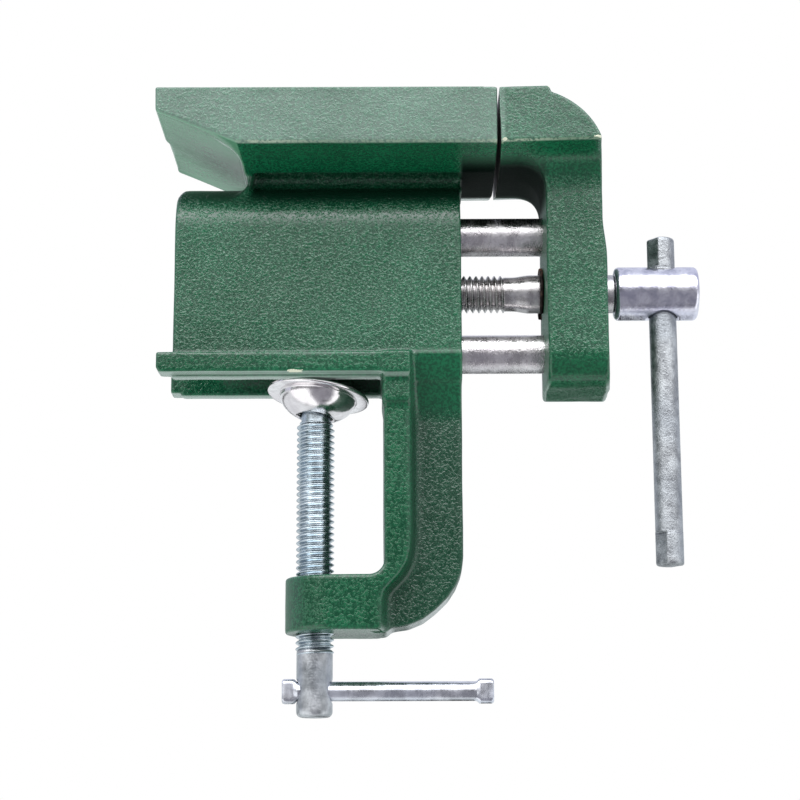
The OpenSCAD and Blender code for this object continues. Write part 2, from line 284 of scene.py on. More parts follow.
def fixed_body_mesh():
    h = 59.56 / 130
    g = Grid((56.18 - 232 * h, -29.78 - 3 * h, -79.5), (57.6, 31.4, 88.5), h)
    X, Y, Z = g.X, g.Y, g.Z
    A = np.abs(Y)
    far = step((Y + 1.5) / 3)

    # anvil: flat top, upright sides, and a hollowed stern of two facets
    Zw = 69.4 - 0.2535 * (30 - np.maximum(A, 12.8))
    U = np.maximum(-23.3 - X, 0)
    Zf = 69.4 + 0.405 * U + 0.035 * U * step((Y + 4) / 20)
    k = np.minimum(0.405 + 0.2535 * np.maximum(30 - A, 0) / (1.3 + 0.8 * np.maximum(A - 16.6, 0)), 3.4)
    Ur = np.maximum(-23.3 + 1.2 * np.clip((30 - A) / 17.2, 0, 1) - X, 0)
    Zr = Zw + k * Ur
    Zu = smin(Zf + 0 * Zr, Zr, 0.8)[:, :, 0]
    gx, gy = np.gradient(Zu, g.h)
    under = (Zu[:, :, None] - Z) / np.sqrt(1 + gx * gx + gy * gy)[:, :, None]
    rear = -48.58 + 0.02 * (86.8 - Z) + 0.85 * far - X
    d = smax(under, A - 29.8, 0.55)
    anvil = smax(d, rear, 0.7)

    # neck between the body and the anvil
    rearc = -21.5 - 0.28 * np.maximum(62.4 - Z, 0) ** 1.5 - X
    neck = smax(A - 6, smax(rearc, X - 45.2, 1.0), 1.6)
    neck = np.maximum(neck, np.maximum(Z - 70, 46 - Z))
    heel = smax(smax(A - 12.2 + 0.12 * np.maximum(64 - Z, 0), rearc, 1.6), X + 19.5 + 0.22 * np.maximum(64 - Z, 0), 2.4)
    neck = np.minimum(neck, np.maximum(heel, np.maximum(Z - 67, 46 - Z)))
    # recess on each side of the neck, behind the lip of the underside
    lip = smax(smax(6 - A, A - 11.9 + 0.5 * np.maximum(Z - 65, 0), 0.8), Z - 68.2, 1.6)
    lip = np.maximum(np.maximum(lip, 62.9 - Z), smax(-19.6 - X, X - 45.0, 0.8))

    # inverted U body, drawn in below where it meets the web
    ww = 8 + 8 * step((Z + 13.5) / 21.5)
    low = np.where(Z < 9, 15.95 + (ww - 16) * step((X - 29.3) / 1.2), 15.95)
    sec = np.where(Z > 46.6, hypot(Y, Z - 46.6) - 15.95, A - low)
    back = -43.2 + 0.25 * far + 1.5 * step((Z - 54) / 8.5) ** 2 - X
    body = smax(sec, back, 1.2)
    body = smax(body, X - 45.2, 0.8)
    body = np.maximum(body, -1 - Z)

    # rails
    def rail(y0, x0):
        cut = 1.0 if y0 < 0 else 0.15
        pr = g.poly([(x0, 6.3), (x0, 1.5 * cut), (x0 + cut, 0), (29.1, 0), (29.1, 6.3)], 0.12)
        return smax(pr, np.abs(Y - y0) - 4, 0.6)
    rails = np.minimum(rail(-15, -47.9), rail(15, -46.5))

    # corner block
    w = 17 + 2 * step((Z + 2.1) / 2.5)
    block = smax(smax(21.1 - X, X - 29.1, 0.5), A - w, 0.6)
    block = smax(block, np.maximum(-8.6 - Z, Z - 6.3), 0.7)

    # C-frame: inner flange and arm round the throat
    wall = g.poly([(-90, 30), (29.1, 30), (29.1, -49), (28.8, -53.5), (27.9, -57.2), (25.9, -60.6),
                   (23.2, -63.4), (21.0, -65.9), (20.3, -68.6), (20.2, -73), (20.2, -110), (-90, -110)], 0.35)
    wall = (wall - 0.22 * np.clip(15.5 - A, 0, 8)) * 0.97
    throat = g.poly([(-90, 90), (21.3, 90)] + arc(16.6, -56.4, 4.7, 0, -90, 8) + [(-90, -61.1)], 0.0)
    plan = np.where(X < 6.5, hypot(X - 6.5, Y), A) - 15.5
    draft = 0.02 * (15.5 - A)
    ell = smax(wall, -throat - draft * 1.5, 1.0)
    ell = smax(ell, -77.5 - Z - draft, 1.2)
    ell = smax(ell, plan, 1.0)
    ell = np.maximum(ell, Z - 4)

    # recessed web, widening into the body at its top
    wp = g.poly([(23, 6), (45.2, 6), (45.2, -55), (44.5, -59.6), (42.9, -63.6), (40.4, -67.4), (36.7, -71),
                 (32.8, -73.9), (28.4, -75.7), (18, -77.2), (18, -63), (23, -60)], 0.35)
    web = smax(wp, A - ww, 0.9)

    frame_ = smin(ell, web, 2.4)
    shell = smin(body, rails, 1.1)
    shell = smin(shell, neck, 2.2)
    shell = smin(shell, smax(anvil, -lip, 0.5), 1.3)
    d = smin(shell, block, 1.2)
    d = smin(d, frame_, 2.0)
    d = smax(d, X - np.where(Z > 60, 56.2, 45.2 + np.maximum(0, 11.2 * step((Z - 60) / 6))), 0.6)

    # hollow, bores
    cav = np.where(Z > 45.5, hypot(Y, Z - 45.5), A) - 11
    cav = np.maximum(np.maximum(cav, X - 20), -6 - Z)
    d = smax(d, -cav, 0.8)
    d = blur(d, 0.28 / g.h)
    rx = np.maximum(X - 60, 19 - X)
    for z, r in ((47.5, 6.06), (9.5, 6.06), (28.9, 6.6)):
        d = smax(d, -np.maximum(hypot(Y, Z - z) - r, rx), 0.5)
    d = smax(d, -np.maximum(hypot(X, Y) - 5.92, Z + 50), 0.6)
    d = np.maximum(d, np.maximum(X - 56.2, A - 29.8))
    d = np.maximum(d, Z - 86.8 - 0.25 * np.clip((56.2 - X) / 105, 0, 1))

    def wave(p, n):
        m = 0.08 * wavy(p, 3, 20) + 0.015 * wavy(p, 5, 6, 9)
        m = np.where(p[:, 0] < -47.5, np.minimum(m * 0.4, 0.0), m)
        keep = (p[:, 2] > 86.4) | (p[:, 0] > 55.9)
        bore = (hypot(p[:, 1], p[:, 2] - 47.5) < 6.7) | (hypot(p[:, 1], p[:, 2] - 9.5) < 6.7) | (hypot(p[:, 0], p[:, 1]) < 6.6)
        fade = np.clip((86.5 - p[:, 2]) / 2, 0, 1) * np.clip((55.9 - p[:, 0]) / 2, 0, 1)
        return np.where(keep | bore, 0, m * fade)
    return from_field("fixed_body_mesh", d.astype(f32), g, wave=wave)


def moving_jaw_mesh():
    h = 59.56 / 150
    g = Grid((56.92 - 4 * h, -29.78 - 3 * h, -4.8), (93.2, 31.2, 88.8), h)
    X, Y, Z = g.X, g.Y, g.Z
    A = np.abs(Y)
    head = g.poly([(56.9, 55), (89.6, 55), (89.0, 66)] + arc(65.7, 62.6, 23.8, 20.5, 72.5, 12) +
                  [(72.1, 87.38), (66, 87.2), (56.9, 87.0), (50, 86.9), (50, 55)], 0.1)
    side = 69.4 + 0.75 * np.clip((X - 60) / 28, 0, 1)
    Zu = side - 0.2535 * (30 - np.maximum(A, 16.6))
    head = smax(head, (Zu - Z) * 0.97, 0.8)
    head = smax(head, A - 29.8, 0.6)
    crown = 1 - np.maximum(-Y, 0) / 17
    turn = 1.05 * step((50 - Z) / 13)
    outer = 88.95 + turn
    leg = smax(71.5 - 0.85 * (1 - A / 17) - X, X - outer - 1.5 * crown, 1.6)
    prof = smax(A - 17, -2.6 - Z, np.where(Y < 0, 10.0, 3.3))
    leg = smax(leg, prof, 1.1)
    leg = np.maximum(leg, Z - 72)
    d = smin(head, leg, 9.0)
    # no swelling where the leg runs on into the back of the head
    lim = np.where(A < 17, 90.45 - 0.09 * A, 88.92 - 0.07 * (A - 17)) + turn + 1.5 * step((Y - 2) / 12) * step((56 - Z) / 20)
    d = smax(d, X - lim, 0.5)
    top = g.poly([(40, 120), (40, -40), (120, -40), (120, 55), (89.6, 55), (89.0, 66)] + arc(65.7, 62.6, 23.8, 20.5, 72.5, 12) +
                 [(72.1, 87.38), (66, 87.2), (56.9, 87.0), (40, 86.8)], 0.1)
    top = np.where(Z > 60, top, -5)
    d = smax(d, top, 0.4)
    # the side of the head keeps its straight lower edge
    d = smax(d, side - 0.32 * (30 - A) - Z - np.where(A < 26, (26 - A) * 30, 0), 0.5)
    d = blur(d, 0.26 / g.h)
    for z, r, x1 in ((47.5, 6.02, 86.2), (9.5, 6.02, 86.2), (28.9, 6.1, 99)):
        d = smax(d, -np.maximum(hypot(Y, Z - z) - r, X - x1), 0.4)
    d = np.maximum(d, np.maximum(56.9 + 0.42 * np.clip((80 - Z) / 13, 0, 1) - X, A - 29.8))

    def wave(p, n):
        m = 0.08 * wavy(p, 13, 18) + 0.015 * wavy(p, 15, 6, 9)
        keep = (p[:, 2] > 86.6) & (p[:, 0] < 72.6)
        for z in (47.5, 9.5, 28.9):
            keep |= hypot(p[:, 1], p[:, 2] - z) < 6.9
        return np.where(keep, 0, m * np.clip((p[:, 0] - 57.5) / 3, 0, 1))
    return from_field("moving_jaw_mesh", d.astype(f32), g, wave=wave)


# ------------------------------------------------------------------ turned and pressed pieces

def lathe(name, profile, n=128, axis="Z", at=(0, 0, 0)):
    """Turns (radius, height) points about an axis."""
    pts, faces, rings = [], [], []
    for r, h in profile:
        if r < 1e-6:
            rings.append([len(pts)])
            pts.append((0, 0, h))
        else:
            rings.append(list(range(len(pts), len(pts) + n)))
            pts += [(r * math.cos(2 * math.pi * i / n), r * math.sin(2 * math.pi * i / n), h) for i in range(n)]
    for a, b in zip(rings, rings[1:]):
        for i in range(n):
            j = (i + 1) % n
            if len(a) == 1 and len(b) == 1:
                continue
            if len(a) == 1:
                faces.append((a[0], b[j], b[i]))
            elif len(b) == 1:
                faces.append((a[i], a[j], b[0]))
            else:
                faces.append((a[i], a[j], b[j], b[i]))
    P = np.array(pts)
    if axis == "X":
        P = P[:, [2, 0, 1]]
    return make_mesh(name, P + np.array(at), faces)


def rounded(points, r, n=5):
    """A profile with each inner corner rounded by about r."""
    out = [points[0]]
    for a, b, c in zip(points, points[1:], points[2:]):
        a, b, c = map(np.array, (a, b, c))
        u, v = a - b, c - b
        lu, lv = np.linalg.norm(u), np.linalg.norm(v)
        t = min(r, lu * 0.45, lv * 0.45)
        p, q = b + u / lu * t, b + v / lv * t
        for i in range(n + 1):
            s = i / n
            out.append(tuple((1 - s) ** 2 * p + 2 * s * (1 - s) * b + s * s * q))
    out.append(points[-1])
    return out


def helix(name, r, z0, z1, pitch, depth, phase, n=72, k=14, taper=(1.5, 1.5), axis="Z", at=(0, 0, 0)):
    """Threaded shank as a height grid: every row is one height, the radius follows the helix."""
    rows = int((z1 - z0) / pitch * k)
    z = np.linspace(z0, z1, rows + 1)[:, None]
    th = (2 * math.pi * np.arange(n) / n)[None, :]
    t = np.mod((z - z0) / pitch - th / (2 * math.pi) - phase, 1.0)
    s = np.abs(t - 0.5) * 2
    q = np.clip((s - 0.12) / 0.74, 0, 1)
    dep = depth * (q * 0.75 + 0.25 * q * q * (3 - 2 * q))
    fade = step((z - z0) / taper[0]) * step((z1 - z) / taper[1])
    rad = r - depth * 0.8 * (1 - fade) - dep * fade
    P = np.stack([rad * np.cos(th), rad * np.sin(th), z + 0 * th], 2).reshape(-1, 3)
    m = rows + 1
    i, j = np.meshgrid(np.arange(m - 1), np.arange(n), indexing="ij")
    a, b = (i * n + j).ravel(), (i * n + (j + 1) % n).ravel()
    quads = np.stack([a, b, b + n, a + n], 1)
    caps = len(P)
    P = np.vstack([P, [[0, 0, z0], [0, 0, z1]]])
    faces = [tuple(int(v) for v in f) for f in quads]
    for j in range(n):
        faces.append((caps, (j + 1) % n, j))
        faces.append((caps + 1, (m - 1) * n + j, (m - 1) * n + (j + 1) % n))
    if axis == "X":
        P = P[:, [2, 0, 1]]
    return make_mesh(name, P + np.array(at), faces)


def loft(name, stations, section, n=64, axis="Z", at=(0, 0, 0)):
    """A bar whose cross-section radius is section(angle, station value)."""
    th = 2 * math.pi * np.arange(n) / n
    pts, faces = [], []
    for s in stations:
        rad = section(th, s)
        pts += [(r * math.cos(t), r * math.sin(t), s) for r, t in zip(rad, th)]
    m = len(stations)
    for i in range(m - 1):
        for j in range(n):
            a, b = i * n + j, i * n + (j + 1) % n
            faces.append((a, b, b + n, a + n))
    faces.append(tuple(range(n - 1, -1, -1)))
    faces.append(tuple(range((m - 1) * n, m * n)))
    P = np.array(pts)
    if axis == "X":
        P = P[:, [2, 0, 1]]
    return make_mesh(name, P + np.array(at), faces)


# ------------------------------------------------------------------ materials

def node(t, kind, ins=None, **props):
    n = t.nodes.new(kind)
    for k, v in props.items():
        setattr(n, k, v)
    for k, v in (ins or {}).items():
        if isinstance(v, bpy.types.NodeSocket):
            t.links.new(v, n.inputs[k])
        else:
            n.inputs[k].default_value = v
    return n


def math_(t, op, a, b=0.0, c=None, clamp=False):
    ins = {0: a, 1: b}
    if c is not None:
        ins[2] = c
    return node(t, "ShaderNodeMath", ins, operation=op, use_clamp=clamp).outputs[0]


def ramp(t, v, a, b, lo=0.0, hi=1.0, smooth=True):
    return node(t, "ShaderNodeMapRange", {"Value": v, "From Min": a, "From Max": b, "To Min": lo, "To Max": hi},
                interpolation_type="SMOOTHSTEP" if smooth else "LINEAR", clamp=True).outputs["Result"]


def mix(t, f, a, b):
    n = node(t, "ShaderNodeMix", {0: f}, data_type="RGBA")
    for k, v in ((6, a), (7, b)):
        if isinstance(v, bpy.types.NodeSocket):
            t.links.new(v, n.inputs[k])
        else:
            n.inputs[k].default_value = v
    return n.outputs[2]


def mixf(t, f, a, b):
    n = node(t, "ShaderNodeMix", {0: f}, data_type="FLOAT")
    for k, v in ((2, a), (3, b)):
        if isinstance(v, bpy.types.NodeSocket):
            t.links.new(v, n.inputs[k])
        else:
            n.inputs[k].default_value = v
    return n.outputs[0]


def noise(t, vec, scale, detail=2.0, rough=0.5, distort=0.0):
    return node(t, "ShaderNodeTexNoise", {"Vector": vec, "Scale": scale, "Detail": detail, "Roughness": rough,
                                          "Distortion": distort}).outputs["Fac"]


def scaled(t, vec, s, rot=(0, 0, 0), loc=(0, 0, 0)):
    return node(t, "ShaderNodeMapping", {"Vector": vec, "Scale": s, "Rotation": rot, "Location": loc}).outputs["Vector"]


def rgb(r, g, b):
    """sRGB 0-255 to a linear colour."""
    f = lambda c: (c / 255 / 12.92) if c / 255 <= 0.04045 else ((c / 255 + 0.055) / 1.055) ** 2.4
    return (f(r), f(g), f(b), 1.0)


def begin(name):
    m = bpy.data.materials.new(name)
    m.use_nodes = True
    t = m.node_tree
    t.nodes.clear()
    out = t.nodes.new("ShaderNodeOutputMaterial")
    b = t.nodes.new("ShaderNodeBsdfPrincipled")
    t.links.new(b.outputs[0], out.inputs["Surface"])
    tc = t.nodes.new("ShaderNodeTexCoord")
    return m, t, b, tc


def paint(name, face_x, face_sign, top_to, rise=0.0, marks=(), calm=None):
    """Green cast-iron paint over a sand-cast skin, bare where it was machined or knocked, with painted sheen, glints,
    reflection and shade on some faces.
    """
    m, t, b, tc = begin(name)
    P = tc.outputs["Object"]
    sep = node(t, "ShaderNodeSeparateXYZ", {0: P})
    nrm = node(t, "ShaderNodeSeparateXYZ", {0: tc.outputs["Normal"]})
    x, y, z = sep.outputs[0], sep.outputs[1], sep.outputs[2]
    edge = node(t, "ShaderNodeAttribute", attribute_name="edge").outputs["Fac"]

    grain = noise(t, P, 2300, 2.0, 0.6)
    pits = noise(t, P, 1200, 1.5, 0.5, 0.5)
    broad = noise(t, P, 95, 3.0, 0.55)
    cloud = noise(t, P, 28, 2.0, 0.5)
    flow = noise(t, scaled(t, P, (1.0, 1.0, 1.9), (0, math.radians(28), 0)), 420, 2.5, 0.6, 1.2)
    upper = ramp(t, z, 0.0655, 0.0700)
    # the skin is rough on upright sides and smoother where it faces down
    skin = mixf(t, ramp(t, nrm.outputs[2], -0.15, -0.55), 1.0, 0.20)
    if calm is not None:
        x0, z0, z1 = calm
        quiet = math_(t, "MULTIPLY", ramp(t, x, x0 * MM, (x0 + 1.5) * MM),
                      math_(t, "MULTIPLY", ramp(t, z, (z0 - 1.5) * MM, (z0 + 1) * MM), ramp(t, z, (z1 + 2) * MM, (z1 - 1) * MM)))
        skin = math_(t, "MULTIPLY", skin, mixf(t, quiet, 1.0, 0.2))
    # the frame and rails are smoother than the body, apart from the recess
    recess = math_(t, "MULTIPLY", ramp(t, math_(t, "ABSOLUTE", y), 0.0145, 0.0105), math_(t, "MULTIPLY", ramp(t, z, -0.006, -0.016), ramp(t, x, 0.020, 0.024)))
    skin = math_(t, "MULTIPLY", skin, mixf(t, ramp(t, z, 0.004, 0.009), mixf(t, recess, 0.60, 1.15), 1.5))
    patch = ramp(t, broad, 0.42, 0.66)

    # height of the skin
    h = math_(t, "MULTIPLY", grain, mixf(t, upper, 0.42, 0.30))
    h = math_(t, "ADD", h, math_(t, "MULTIPLY", ramp(t, pits, 0.46, 0.72), mixf(t, upper, 0.85, 0.35)))
    h = math_(t, "ADD", h, math_(t, "MULTIPLY", flow, math_(t, "MULTIPLY", upper, mixf(t, patch, 0.15, 1.0))))
    h = math_(t, "MULTIPLY", h, skin)
    h = math_(t, "ADD", h, math_(t, "MULTIPLY", broad, 0.25))
    bump = node(t, "ShaderNodeBump", {"Height": h, "Strength": 1.0, "Distance": 0.000095})

    # machined faces
    faceband = math_(t, "MULTIPLY", math_(t, "GREATER_THAN", math_(t, "MULTIPLY", nrm.outputs[0], face_sign), 0.8),
                     math_(t, "LESS_THAN", math_(t, "ABSOLUTE", math_(t, "SUBTRACT", x, face_x)), 0.00055))
    topband = math_(t, "MULTIPLY", math_(t, "GREATER_THAN", nrm.outputs[2], 0.8),
                    math_(t, "MULTIPLY", math_(t, "GREATER_THAN", z, 0.0864), math_(t, "LESS_THAN", x, top_to)))
    machined = math_(t, "MAXIMUM", faceband, topband)

    # knocks along sharp edges, and the thin pale line along the lower edge of the sides: partly worn paint, partly a
    # painted highlight where that edge catches the light
    chip = math_(t, "ADD", ramp(t, edge, 0.8, 2.0), math_(t, "MULTIPLY", math_(t, "SUBTRACT", pits, 0.5), 1.6))
    chip = math_(t, "MULTIPLY", ramp(t, chip, 1.10, 1.30), ramp(t, broad, 0.56, 0.66))
    low_edge = math_(t, "ADD", 0.0694, math_(t, "MULTIPLY", ramp(t, x, 0.060, 0.088, 0.0, 1.0, False), rise * MM))
    off = math_(t, "ABSOLUTE", math_(t, "SUBTRACT", z, math_(t, "ADD", low_edge, 0.0001)))
    edge_wear_glint = math_(t, "MULTIPLY", ramp(t, off, 0.0007, 0.0002), ramp(t, edge, 0.3, 0.9))
    edge_wear_glint = math_(t, "MULTIPLY", edge_wear_glint, math_(t, "MULTIPLY", ramp(t, pits, 0.34, 0.58), ramp(t, x, -0.026, -0.018)))
    bare = math_(t, "MAXIMUM", chip, math_(t, "MULTIPLY", edge_wear_glint, mixf(t, ramp(t, cloud, 0.40, 0.60), 0.14, 0.34)))
    for (mx, my, mz), (rx, rz) in marks:
        u = math_(t, "DIVIDE", math_(t, "SUBTRACT", x, mx * MM), rx * MM)
        v = math_(t, "DIVIDE", math_(t, "SUBTRACT", z, mz * MM), rz * MM)
        r2 = math_(t, "ADD", math_(t, "MULTIPLY", u, u), math_(t, "MULTIPLY", v, v))
        r2 = math_(t, "ADD", r2, math_(t, "MULTIPLY", math_(t, "SUBTRACT", pits, 0.5), 3.4))
        near = math_(t, "GREATER_THAN", math_(t, "MULTIPLY", y, math.copysign(1, my)), (abs(my) - 1.5) * MM)
        bare = math_(t, "MAXIMUM", bare, math_(t, "MULTIPLY", ramp(t, r2, 1.10, 0.80), near))

    deep = rgb(5, 70, 42)
    mid = rgb(10, 82, 52)
    col = mix(t, ramp(t, cloud, 0.35, 0.68), deep, mid)
    col = mix(t, math_(t, "MULTIPLY", ramp(t, pits, 0.62, 0.38), 0.6), col, rgb(3, 36, 24))
    col = mix(t, math_(t, "MULTIPLY", ramp(t, edge, 0.35, 1.4), 0.18), col, rgb(60, 118, 88))
    # painted sheen: pale paint on the sides of the anvil and the jaw stands in for the light they reflect, weaker on
    # the jaw
    side_sheen = math_(t, "MULTIPLY", upper, ramp(t, math_(t, "ABSOLUTE", y), 0.0285, 0.0292))
    side_sheen = math_(t, "MULTIPLY", side_sheen, mixf(t, ramp(t, x, 0.0580, 0.0590), 1.0, 0.35))
    col = mix(t, math_(t, "MULTIPLY", side_sheen, mixf(t, cloud, 0.10, 0.26)), col, rgb(176, 190, 184))
    # painted glints: pale specks in the paint stand in for the highlights the crests of the skin catch
    glint_specks = noise(t, P, 1900, 2.0, 0.6, 0.6)
    col = mix(t, math_(t, "MULTIPLY", math_(t, "MULTIPLY", ramp(t, glint_specks, 0.48, 0.66), skin), mixf(t, upper, 0.09, 0.14)), col, rgb(110, 164, 138))
    # painted reflection: pale paint on the undersides of the rails, and painted light: paler paint on the stern facet
    # where it faces down and to the rear
    seat_reflection = math_(t, "MULTIPLY", math_(t, "MULTIPLY", ramp(t, z, 0.0013, 0.0005), ramp(t, z, -0.004, -0.002)), ramp(t, nrm.outputs[2], -0.55, -0.9))
    seat_reflection = math_(t, "MULTIPLY", seat_reflection, ramp(t, x, 0.031, 0.0295))
    col = mix(t, math_(t, "MULTIPLY", seat_reflection, mixf(t, cloud, 0.34, 0.54)), col, rgb(150, 166, 158))
    stern_light = math_(t, "MULTIPLY", math_(t, "MULTIPLY", ramp(t, nrm.outputs[0], -0.15, -0.35), ramp(t, nrm.outputs[2], -0.2, -0.5)), math_(t, "MULTIPLY", ramp(t, x, -0.0185, -0.022), ramp(t, z, 0.052, 0.056)))
    col = mix(t, math_(t, "MULTIPLY", stern_light, mixf(t, cloud, 0.25, 0.75)), col, rgb(92, 142, 112))
    # painted shade: darker paint in the recess of the frame and on the crown under the anvil, where the flange and the
    # anvil shade them
    under = math_(t, "MULTIPLY", ramp(t, nrm.outputs[2], 0.30, 0.75), math_(t, "MULTIPLY", ramp(t, z, 0.048, 0.056), ramp(t, z, 0.067, 0.065)))
    col = mix(t, math_(t, "MULTIPLY", recess, mixf(t, pits, 0.25, 0.75)), col, rgb(4, 30, 20))
    col = mix(t, math_(t, "MULTIPLY", under, 0.8), col, rgb(4, 26, 18))
    # painted shade: near-black, rough, metallic paint on the downward- and backward-facing surfaces under the jaws
    # stands in for the deep shade there
    jaw_shade = math_(t, "MULTIPLY", ramp(t, math_(t, "ABSOLUTE", y), 0.024, 0.013), math_(t, "MULTIPLY", ramp(t, x, 0.0446, 0.0462), ramp(t, x, 0.0722, 0.0708)))
    jaw_shade = math_(t, "MULTIPLY", jaw_shade, math_(t, "MULTIPLY", ramp(t, z, 0.051, 0.058), math_(t, "MAXIMUM", ramp(t, nrm.outputs[2], -0.2, -0.5), ramp(t, nrm.outputs[0], -0.3, -0.6))))
    jaw_shade = math_(t, "MULTIPLY", jaw_shade, math_(t, "SUBTRACT", 1.0, machined))
    col = mix(t, math_(t, "MULTIPLY", jaw_shade, 0.92), col, rgb(4, 16, 12))
    metal = mix(t, ramp(t, broad, 0.35, 0.7), rgb(158, 158, 156), rgb(138, 137, 134))
    col = mix(t, machined, col, metal)
    col = mix(t, bare, col, rgb(196, 200, 178))
    t.links.new(col, b.inputs["Base Color"])
    t.links.new(math_(t, "MAXIMUM", math_(t, "MAXIMUM", machined, jaw_shade), math_(t, "MULTIPLY", bare, 0.2)), b.inputs["Metallic"])
    r = math_(t, "ADD", 0.15, math_(t, "MULTIPLY", ramp(t, pits, 0.3, 0.7), 0.07))
    r = math_(t, "ADD", r, math_(t, "MULTIPLY", ramp(t, cloud, 0.3, 0.7), 0.03))
    # the faces that the pattern drew along stay matt
    r = math_(t, "ADD", r, math_(t, "MULTIPLY", ramp(t, math_(t, "ABSOLUTE", nrm.outputs[0]), 0.7, 0.95), 0.25))
    r = mixf(t, jaw_shade, r, 0.85)
    r = mixf(t, math_(t, "MAXIMUM", machined, bare), r, 0.36)
    t.links.new(r, b.inputs["Roughness"])
    b.inputs["Specular IOR Level"].default_value = 0.55
    # milling marks replace the grain on the machined faces
    mill = noise(t, scaled(t, P, (90, 2.0, 2.0)), 60, 2.0, 0.6)
    bump2 = node(t, "ShaderNodeBump", {"Height": mill, "Strength": 0.35, "Distance": 0.00004})
    mixn = node(t, "ShaderNodeMix", {0: machined}, data_type="VECTOR")
    t.links.new(bump.outputs[0], mixn.inputs[4])
    t.links.new(bump2.outputs[0], mixn.inputs[5])
    t.links.new(mixn.outputs[1], b.inputs["Normal"])
    return m


def steel(name, base, dark, rough=(0.2, 0.4), axis="X", lines=0.5, grain=0.0, blotch=0.4, tint=None, rust=0.0,
          line_scale=1400, dist=0.00003, spec=0.5):
    """Bright metal: turning lines round the axis, cloudy roughness, pits, a little rust."""
    m, t, b, tc = begin(name)
    P = tc.outputs["Object"]
    s = {"X": (1.0, 0.03, 0.03), "Z": (0.03, 0.03, 1.0), "Y": (0.03, 1.0, 0.03), "N": (1, 1, 1)}[axis]
    turn = noise(t, scaled(t, P, s), line_scale, 3.0, 0.65)
    fine = noise(t, P, 1800, 2.0, 0.6)
    cloud = noise(t, P, 240, 3.0, 0.6)
    big = noise(t, P, 60, 2.0, 0.5)
    col = mix(t, ramp(t, cloud, 0.32, 0.70), dark, base)
    if tint is not None:
        col = mix(t, math_(t, "MULTIPLY", ramp(t, big, 0.40, 0.70), 0.6), col, tint)
    specks = ramp(t, fine, 0.62, 0.76)
    col = mix(t, math_(t, "MULTIPLY", specks, 0.35 * blotch), col, (0.06, 0.055, 0.05, 1))
    coarse = noise(t, P, 900, 2.0, 0.6)
    col = mix(t, math_(t, "MULTIPLY", ramp(t, coarse, 0.52, 0.66), 0.30 * blotch), col, dark)
    metal = 1.0
    if rust > 0:
        rn = math_(t, "MULTIPLY", ramp(t, math_(t, "ADD", cloud, math_(t, "MULTIPLY", big, 0.5)), 0.95 - rust * 0.5, 1.1 - rust * 0.5), 1.0)
        rc = mix(t, fine, rgb(44, 30, 24), rgb(96, 66, 48))
        col = mix(t, rn, col, rc)
        t.links.new(math_(t, "SUBTRACT", 1.0, math_(t, "MULTIPLY", rn, 0.85)), b.inputs["Metallic"])
        rr = math_(t, "MULTIPLY", rn, 0.4)
    else:
        b.inputs["Metallic"].default_value = metal
        rr = None
    t.links.new(col, b.inputs["Base Color"])
    r = ramp(t, math_(t, "ADD", math_(t, "MULTIPLY", cloud, 0.6), math_(t, "MULTIPLY", turn, 0.4)), 0.3, 0.7, rough[0], rough[1])
    if rr is not None:
        r = math_(t, "ADD", r, rr, clamp=True)
    t.links.new(r, b.inputs["Roughness"])
    h = math_(t, "ADD", math_(t, "MULTIPLY", turn, lines), math_(t, "ADD", math_(t, "MULTIPLY", fine, grain), math_(t, "MULTIPLY", cloud, grain)))
    bump = node(t, "ShaderNodeBump", {"Height": h, "Strength": 0.8, "Distance": dist})
    t.links.new(bump.outputs[0], b.inputs["Normal"])
    return m


M_fixed = paint("green_hammertone", 0.0562, 1.0, 0.1, marks=(((-5.6, -19, 0.25), (2.2, 0.45)),), calm=(30.0, -9.0, 8.0))
M_jaw = paint("green_hammertone_jaw", 0.0569, -1.0, 0.0722, 0.75,
              marks=(((58.3, -30, 69.9), (0.75, 0.45)), ((86.9, -30, 70.7), (1.5, 0.36)), ((72.3, -30, 87.0), (0.7, 0.5))))
M_rod = steel("ground_rod", rgb(234, 232, 232), rgb(188, 185, 185), (0.20, 0.36), "X", 0.35, 1.6, 1.3, rgb(204, 198, 204), dist=0.00008)
M_lead = steel("cut_thread", rgb(208, 207, 208), rgb(156, 154, 154), (0.20, 0.36), "N", 0.0, 0.6, 0.8, rgb(182, 178, 176), rust=0.0, dist=0.00005)
M_barrel = steel("barrel_plate", rgb(230, 230, 238), rgb(188, 188, 204), (0.12, 0.26), "X", 0.5, 0.9, 1.0, rgb(210, 210, 230), line_scale=1100, dist=0.00005)
M_bar = steel("dull_zinc", rgb(186, 190, 192), rgb(136, 139, 142), (0.36, 0.56), "Z", 0.15, 1.6, 1.0, rgb(150, 156, 162), dist=0.00010)
M_zinc = steel("blue_zinc", rgb(204, 213, 218), rgb(158, 169, 175), (0.18, 0.32), "N", 0.0, 0.3, 0.6, rgb(160, 178, 190), dist=0.00004)
M_zhead = steel("dull_zinc_head", rgb(196, 199, 202), rgb(146, 150, 153), (0.26, 0.44), "Z", 0.2, 0.9, 0.9, rgb(154, 162, 170), dist=0.00009)
M_tommy = steel("pale_zinc", rgb(228, 230, 236), rgb(192, 194, 200), (0.20, 0.36), "X", 0.2, 0.3, 0.4, rgb(204, 210, 224), dist=0.00004)
M_pad = steel("nickel_pad", rgb(241, 239, 239), rgb(208, 205, 206), (0.10, 0.24), "N", 0.0, 0.35, 0.5, rgb(214, 206, 210), dist=0.00006)
M_rust = steel("rusty_ring", rgb(46, 40, 38), rgb(20, 18, 18), (0.4, 0.6), "N", 0.0, 0.9, 1.0, rust=0.3, dist=0.0001)
M_plain = steel("plain_steel", rgb(160, 156, 150), rgb(100, 96, 90), (0.34, 0.5), "N", 0.0, 0.6, 0.9, rust=0.15, dist=0.00006)

# ------------------------------------------------------------------ the pieces

